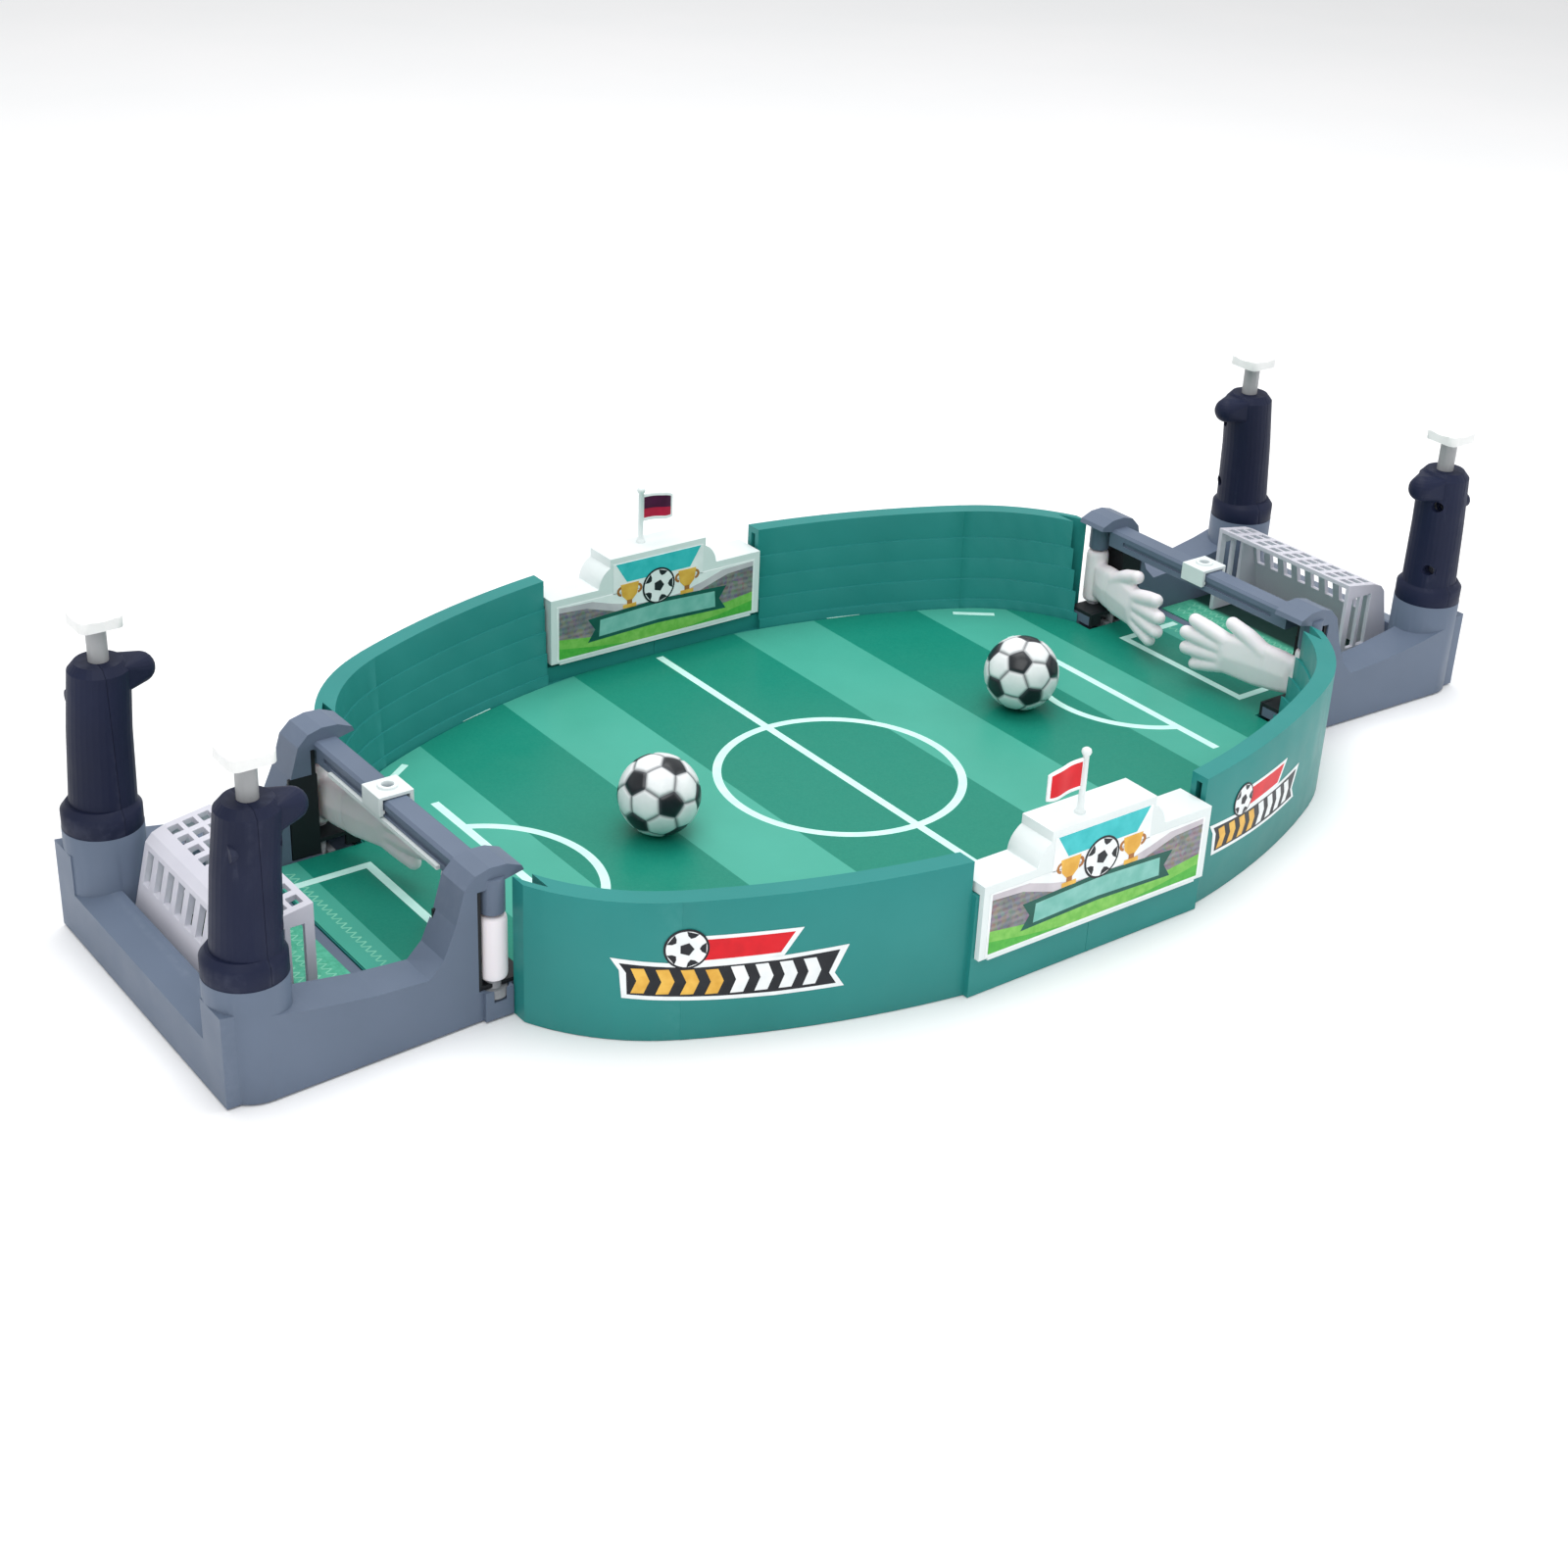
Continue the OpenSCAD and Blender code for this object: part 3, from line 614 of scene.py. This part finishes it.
def lathe(profile, centre, count=24):
    """A turned solid from (radius, height) pairs."""
    mesh = bmesh.new()
    rings = []
    for radius, height in profile:
        rings.append([mesh.verts.new((centre[0] + radius * math.cos(TURN * i / count),
                                      centre[1] + radius * math.sin(TURN * i / count), height))
                      for i in range(count)])
    for lower, upper in zip(rings, rings[1:]):
        for i in range(count):
            j = (i + 1) % count
            mesh.faces.new((lower[i], lower[j], upper[j], upper[i]))
    mesh.faces.new(rings[0][::-1])
    mesh.faces.new(rings[-1])
    return mesh


FLAG_Y = 100.5
POLE_INSET = 1.35
CLOTH_LOW = 47.8
CLOTH_REACH, CLOTH_HEIGHT, CLOTH_THICK, CLOTH_BORDER = 11.2, 8.6, 0.35, 0.9


def flag_cloth(name, bands, origin, direction):
    """A stiff printed flag: white border all round, with coloured bands inside it."""
    columns, rows = 26, 18
    edge = CLOTH_BORDER / CLOTH_HEIGHT
    mesh = bmesh.new()
    looks = ["paper"] + [look for look, _ in bands]
    grid = {}
    for face in (0, 1):
        for i in range(columns + 1):
            for j in range(rows + 1):
                a, b = i / columns, j / rows
                swell = 0.55 * math.sin(2.2 * math.pi * a) * a
                droop = -1.3 * a * a
                round_off = 1.1 * max(0, a - 0.7) / 0.3
                pinch = round_off * round_off * (0.5 - b) * 1.2
                x = origin[0] + direction * CLOTH_REACH * a
                y = origin[1] + swell + (face - 0.5) * CLOTH_THICK
                z = origin[2] + CLOTH_HEIGHT * b + droop + pinch
                grid[face, i, j] = mesh.verts.new(Vector((x, y, z)) * MM)
    for face in (0, 1):
        for i in range(columns):
            for j in range(rows):
                made = mesh.faces.new([grid[face, i, j], grid[face, i + 1, j],
                                       grid[face, i + 1, j + 1], grid[face, i, j + 1]])
                u = CLOTH_REACH * (i + 0.5) / columns
                v = (j + 0.5) / rows
                if CLOTH_BORDER * 0.4 < u < CLOTH_REACH - CLOTH_BORDER and edge < v < 1 - edge:
                    for index, (_, start) in enumerate(bands):
                        if v >= start:
                            made.material_index = index + 1
    rim = ([(i, 0) for i in range(columns)] + [(columns, j) for j in range(rows)]
           + [(i, rows) for i in range(columns, 0, -1)] + [(0, j) for j in range(rows, 0, -1)])
    for (i, j), (k, l) in zip(rim, rim[1:] + rim[:1]):
        mesh.faces.new([grid[0, i, j], grid[0, k, l], grid[1, k, l], grid[1, i, j]])
    bmesh.ops.recalc_face_normals(mesh, faces=mesh.faces)
    return add_object(name, mesh_data(name, mesh, looks), "table")


def flags():
    """Pole with a knob in the banner's top, and the printed flag on it."""
    bands = {"near": [("red", 0.0)], "far": [("crimson", 0.0), ("plum", 0.45)]}
    for side, direction in SIDES.items():
        low, high = box_mm("flag_" + side)
        pole_x = (low.x if direction > 0 else high.x) + direction * POLE_INSET
        pole_y = direction * FLAG_Y
        profile = [(0.95, low.z), (0.95, low.z + 1.4), (1.5, low.z + 5.2), (1.1, low.z + 5.8),
                   (0.85, low.z + 6.4), (0.8, high.z - 2.1), (1.05, high.z - 1.9),
                   (1.33, high.z - 1.2), (1.15, high.z - 0.5), (0.6, high.z - 0.1)]
        mesh = lathe(profile, (pole_x, pole_y))
        bmesh.ops.scale(mesh, vec=(MM, MM, MM), verts=mesh.verts)
        bmesh.ops.recalc_face_normals(mesh, faces=mesh.faces)
        pole = "flag_pole_" + side
        add_object(pole, mesh_data(pole, mesh, ["white"]), "table", ["flag_" + side])
        flag_cloth("flag_cloth_" + side, bands[side], (pole_x + direction * 0.6, pole_y, CLOTH_LOW),
                   direction)


# ---- balls -----------------------------------------------------------------

# depth of a seam as a share of the radius, and its half width as a share of a panel
SEAM_DEPTH = 0.028
SEAM_WIDTH = 0.13


def ball_mesh(name, radius, centre, turn, steps=10):
    """Truncated icosahedron of crowned panels: 12 pentagons dark, 20 hexagons white."""
    base = bmesh.new()
    bmesh.ops.create_icosphere(base, subdivisions=1, radius=1)
    base.verts.ensure_lookup_table()
    panels = []
    for vert in base.verts:
        ring = [vert.co.lerp(edge.other_vert(vert).co, 1 / 3) for edge in vert.link_edges]
        panels.append((around(ring, vert.co), 1))
    for face in base.faces:
        corners = [vert.co for vert in face.verts]
        ring = []
        for first, second in zip(corners, corners[1:] + corners[:1]):
            ring += [first.lerp(second, 1 / 3), first.lerp(second, 2 / 3)]
        panels.append((around(ring, sum(corners, Vector())), 0))
    base.free()
    mesh = bmesh.new()
    depth = mesh.verts.layers.float.new("seam")
    for ring, look in panels:
        centre_point = sum(ring, Vector()) / len(ring)
        for first, second in zip(ring, ring[1:] + ring[:1]):
            add_panel_wedge(mesh, depth, centre_point, first, second, look, steps)
    bmesh.ops.remove_doubles(mesh, verts=mesh.verts, dist=0.0005)
    bmesh.ops.recalc_face_normals(mesh, faces=mesh.faces)
    for vert in mesh.verts:
        dip = SEAM_DEPTH * vert[depth]
        vert.co = turn @ (vert.co.normalized() * (radius * (1 - dip))) * MM + Vector(centre) * MM
    return mesh_data(name, mesh, ["ball_white", "ball_black"])


def around(points, axis):
    """The points in order round an axis."""
    axis = axis.normalized()
    side = axis.orthogonal().normalized()
    up = axis.cross(side)
    return sorted(points, key=lambda p: math.atan2(p.dot(up), p.dot(side)))


def add_panel_wedge(mesh, depth, centre, first, second, look, steps):
    """One triangle of a panel, divided finely; depth says how near each point is to the seam."""
    rows = []
    for i in range(steps + 1):
        row = []
        for j in range(i + 1):
            outward = i / steps
            along = j / i if i else 0
            point = centre.lerp(first.lerp(second, along), outward)
            vert = mesh.verts.new(point)
            vert[depth] = math.exp(-((1 - outward) / SEAM_WIDTH) ** 2)
            row.append(vert)
        rows.append(row)
    for i in range(steps):
        for j in range(i + 1):
            faces = [(rows[i][j], rows[i + 1][j], rows[i + 1][j + 1])]
            if j < i:
                faces.append((rows[i][j], rows[i + 1][j + 1], rows[i][j + 1]))
            for corners in faces:
                mesh.faces.new(corners).material_index = look


def balls():
    """Both footballs, each turned its own way."""
    turns = {"home": (0.35, 0.2, 0.5), "away": (1.1, 0.4, 0.2)}
    for end, angles in turns.items():
        node = "ball_" + end
        low, high = box_mm(node)
        centre = (low + high) / 2
        radius = (high.z - low.z) / 2
        turn = (Matrix.Rotation(angles[0], 3, "X") @ Matrix.Rotation(angles[1], 3, "Y")
                @ Matrix.Rotation(angles[2], 3, "Z"))
        data = ball_mesh("football_" + end, radius, centre, turn)
        add_object("football_" + end, data, node, [node])


# ---- gloves ----------------------------------------------------------------

GLOVE_VOXEL = 0.00042
GLOVE_PIVOT = (140, 45.5, 0)
GLOVE_LEAN = math.radians(15)


def add_hull(mesh, balls):
    """The tight skin round a few balls, each a (centre, radius)."""
    part = bmesh.new()
    for centre, radius in balls:
        bmesh.ops.create_icosphere(part, subdivisions=3, radius=radius,
                                   matrix=Matrix.Translation(centre))
    hull = bmesh.ops.convex_hull(part, input=part.verts)
    loose = [item for item in hull["geom_interior"] if isinstance(item, bmesh.types.BMVert)]
    bmesh.ops.delete(part, geom=loose, context="VERTS")
    join(mesh, part)


def join(whole, part):
    """Moves a part's faces into the whole."""
    points = {vert: whole.verts.new(vert.co) for vert in part.verts}
    for face in part.faces:
        whole.faces.new([points[vert] for vert in face.verts])
    part.free()


def glove_parts(mesh):
    """The glove in its own plane: X from the pivot to the fingertips, Y across the palm, Z up."""
    join(mesh, lathe([(2.6, 10.4), (3.5, 11.0), (3.6, 12), (3.6, 26.6), (3.4, 27.6), (2.6, 28.1)],
                     (0, 0), 40))
    add_hull(mesh, [((u, 0, v), radius) for u, v, radius in (
        (4, 14.8, 2.5), (4, 22.2, 2.5), (6, 18.5, 3.1), (15.5, 13.8, 2.5), (15.5, 23.6, 2.5),
        (15.5, 18.7, 3.1), (27.6, 14.6, 2.4), (27.6, 22.6, 2.4), (25, 18.6, 3.1))])
    limbs = [((13.5, 0, 22.6), (19.6, 0.1, 26.2), (25.6, 0.3, 28.6), 2.8, 2.6, 2.15),
             ((26.8, 0, 22.6), (33, 0.1, 24.5), (38.2, 0.3, 25.9), 2.55, 2.5, 2.15),
             ((27.5, 0, 19.9), (34.5, 0.1, 20.7), (40.8, 0.3, 21.1), 2.55, 2.5, 2.15),
             ((27.5, 0, 17), (34, 0.1, 16.5), (40.2, 0.3, 16.1), 2.55, 2.5, 2.15),
             ((26.4, 0, 14.5), (31.5, 0.1, 13.1), (36.6, 0.3, 11.7), 2.5, 2.4, 2.0)]
    for root, knuckle, tip, root_r, knuckle_r, tip_r in limbs:
        add_hull(mesh, [(root, root_r), (knuckle, knuckle_r)])
        add_hull(mesh, [(knuckle, knuckle_r), (tip, tip_r)])


def baked(data, modifiers):
    """The mesh after a stack of modifiers."""
    temporary = bpy.data.objects.new("temporary", data)
    bpy.context.scene.collection.objects.link(temporary)
    for kind, settings in modifiers:
        modifier = temporary.modifiers.new(kind, kind)
        for key, value in settings.items():
            setattr(modifier, key, value)
    bpy.context.view_layer.update()
    graph = bpy.context.evaluated_depsgraph_get()
    result = bpy.data.meshes.new_from_object(temporary.evaluated_get(graph))
    bpy.data.objects.remove(temporary)
    return result


def smooth_step(value):
    """0 to 1, with a soft start and end."""
    value = min(1, max(0, value))
    return value * value * (3 - 2 * value)


def glove_mesh():
    """Moulded glove: palm and fingers grown into one skin, then a wrist strap and a seam."""
    mesh = bmesh.new()
    glove_parts(mesh)
    bmesh.ops.scale(mesh, vec=(MM, MM, MM), verts=mesh.verts)
    source = mesh_data("glove_source", mesh, smooth=False)
    data = baked(source, [("REMESH", {"mode": "VOXEL", "voxel_size": GLOVE_VOXEL}),
                          ("SMOOTH", {"factor": 0.5, "iterations": 5})])
    mesh = bmesh.new()
    mesh.from_mesh(data)
    mesh.normal_update()
    for vert in mesh.verts:
        x = vert.co.x / MM
        strap = smooth_step((x - 6.2) / 0.6) * smooth_step((10.6 - x) / 0.6)
        seam = math.exp(-((x - 12.4) / 0.35) ** 2)
        vert.co += vert.normal * (0.1 * strap - 0.12 * seam) * MM
    mesh.to_mesh(data)
    mesh.free()
    return data


def gloves():
    """Four copies of the glove, mirrored into their corners."""
    source = glove_mesh()
    for end, side in CORNERS:
        s, t = ENDS[end], SIDES[side]
        data = source.copy()
        turned = Matrix.Rotation(-math.pi / 2 - GLOVE_LEAN, 4, "Z")
        mirror = Matrix.Diagonal((s, t, 1, 1))
        centre = Matrix.Translation(Vector(GLOVE_PIVOT) * MM)
        data.transform(mirror @ centre @ turned)
        if s * t < 0:
            data.flip_normals()
        data.materials.clear()
        data.materials.append(LOOKS["glove"])
        for polygon in data.polygons:
            polygon.use_smooth = True
        node = "hand_%s_%s" % (end, side)
        add_object("glove_%s_%s" % (end, side), data, node, [node])


# ---- return springs --------------------------------------------------------

COIL_TURNS = 5
COIL_STEPS = 28
WIRE_SIDES = 8
WIRE_RADIUS = 0.42
WIRE_INSET = 0.05


def coil_mesh(name, centre, radius, low, high):
    """A round wire wound upwards round a centre."""
    mesh = bmesh.new()
    rise = (high - low) / (COIL_TURNS * COIL_STEPS)
    rings = []
    for i in range(COIL_TURNS * COIL_STEPS + 1):
        angle = TURN * i / COIL_STEPS
        ring = []
        for k in range(WIRE_SIDES):
            tilt = TURN * k / WIRE_SIDES
            reach = radius + WIRE_RADIUS * math.cos(tilt)
            height = low + rise * i + WIRE_RADIUS * math.sin(tilt)
            ring.append(mesh.verts.new(Vector((centre.x + reach * math.cos(angle),
                                               centre.y + reach * math.sin(angle), height)) * MM))
        rings.append(ring)
    for lower, upper in zip(rings, rings[1:]):
        for k in range(WIRE_SIDES):
            m = (k + 1) % WIRE_SIDES
            mesh.faces.new((lower[k], lower[m], upper[m], upper[k]))
    mesh.faces.new(rings[0][::-1])
    mesh.faces.new(rings[-1])
    bmesh.ops.recalc_face_normals(mesh, faces=mesh.faces)
    return mesh_data(name, mesh, ["spring"])


def springs():
    """A coil in each spring's place, wound between the housing floor and the stem's collar."""
    for end, side in CORNERS:
        node = "spring_%s_%s" % (end, side)
        low, high = box_mm(node)
        centre = (low + high) / 2
        radius = (high.x - low.x) / 2 - WIRE_RADIUS - WIRE_INSET
        name = "coil_%s_%s" % (end, side)
        data = coil_mesh(name, centre, radius, low.z + WIRE_RADIUS, high.z - WIRE_RADIUS)
        coil = add_object(name, data, "table", [node])
        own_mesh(coil)


# ---- camera, light and floor -----------------------------------------------

CAMERA_PLACE = (-0.3800, -0.4651, 0.3207)
CAMERA_ANGLES = (-37.75, 28.03, 2.67)
CAMERA_LENS = 54.73
LAMPS = [  # name, place, size, power
    ("key", (-0.5, -0.5, 0.9), 0.7, 4),
    ("top", (0.1, 0.2, 1.1), 0.9, 7.5),
    ("fill", (0.8, -0.5, 0.5), 0.8, 1.5),
]
WORLD_STRENGTH = 0.68
FLOOR_HEIGHT = -0.0002


def camera():
    """The main view, from its azimuth, elevation and roll in degrees."""
    azimuth, elevation, roll = (math.radians(angle) for angle in CAMERA_ANGLES)
    back = Vector((math.sin(azimuth) * math.cos(elevation), -math.cos(azimuth) * math.cos(elevation),
                   math.sin(elevation)))
    right = Vector((0, 0, 1)).cross(back).normalized()
    up = back.cross(right)
    turned_right = math.cos(roll) * right + math.sin(roll) * up
    turned_up = -math.sin(roll) * right + math.cos(roll) * up
    data = bpy.data.cameras.new("camera")
    data.sensor_width = 36
    data.lens = CAMERA_LENS
    data.clip_start = 0.01
    eye = bpy.data.objects.new("camera", data)
    bpy.context.scene.collection.objects.link(eye)
    eye.matrix_world = Matrix((turned_right, turned_up, back)).transposed().to_4x4()
    eye.location = CAMERA_PLACE
    bpy.context.scene.camera = eye


def lamp(name, place, size, power):
    """A square area lamp that looks at the middle of the pitch."""
    data = bpy.data.lights.new(name, "AREA")
    data.size = size
    data.energy = power
    lamp_object = bpy.data.objects.new(name, data)
    bpy.context.scene.collection.objects.link(lamp_object)
    lamp_object.location = place
    lamp_object.rotation_mode = "QUATERNION"
    lamp_object.rotation_quaternion = (-Vector(place)).to_track_quat("-Z", "Y")


def studio():
    """White surroundings, three lamps and a white floor."""
    world = bpy.data.worlds.new("studio")
    bpy.context.scene.world = world
    world.use_nodes = True
    world.node_tree.nodes["Background"].inputs["Color"].default_value = (1, 1, 1, 1)
    world.node_tree.nodes["Background"].inputs["Strength"].default_value = WORLD_STRENGTH
    bpy.context.scene.view_settings.view_transform = "Standard"
    for name, place, size, power in LAMPS:
        lamp(name, place, size, power)
    mesh = bmesh.new()
    bmesh.ops.create_grid(mesh, x_segments=2, y_segments=2, size=3)
    data = mesh_data("floor", mesh, smooth=False)
    nodes = Nodes("floor")
    clouds = nodes.mapped(nodes.noise(6, 3), 0.3, 0.7, 0, 1)
    paper = nodes.mix(clouds, tone(252, 252, 253), tone(249, 250, 251))
    data.materials.append(nodes.finish(paper, 0.8, 0.03, 900, 0.00001))
    floor = bpy.data.objects.new("floor", data)
    bpy.context.scene.collection.objects.link(floor)
    floor.location.z = FLOOR_HEIGHT


camera()
dress_cad_nodes()
pitch_lines()
net_marks()
banners()
emblems()
flags()
balls()
gloves()
springs()
studio()
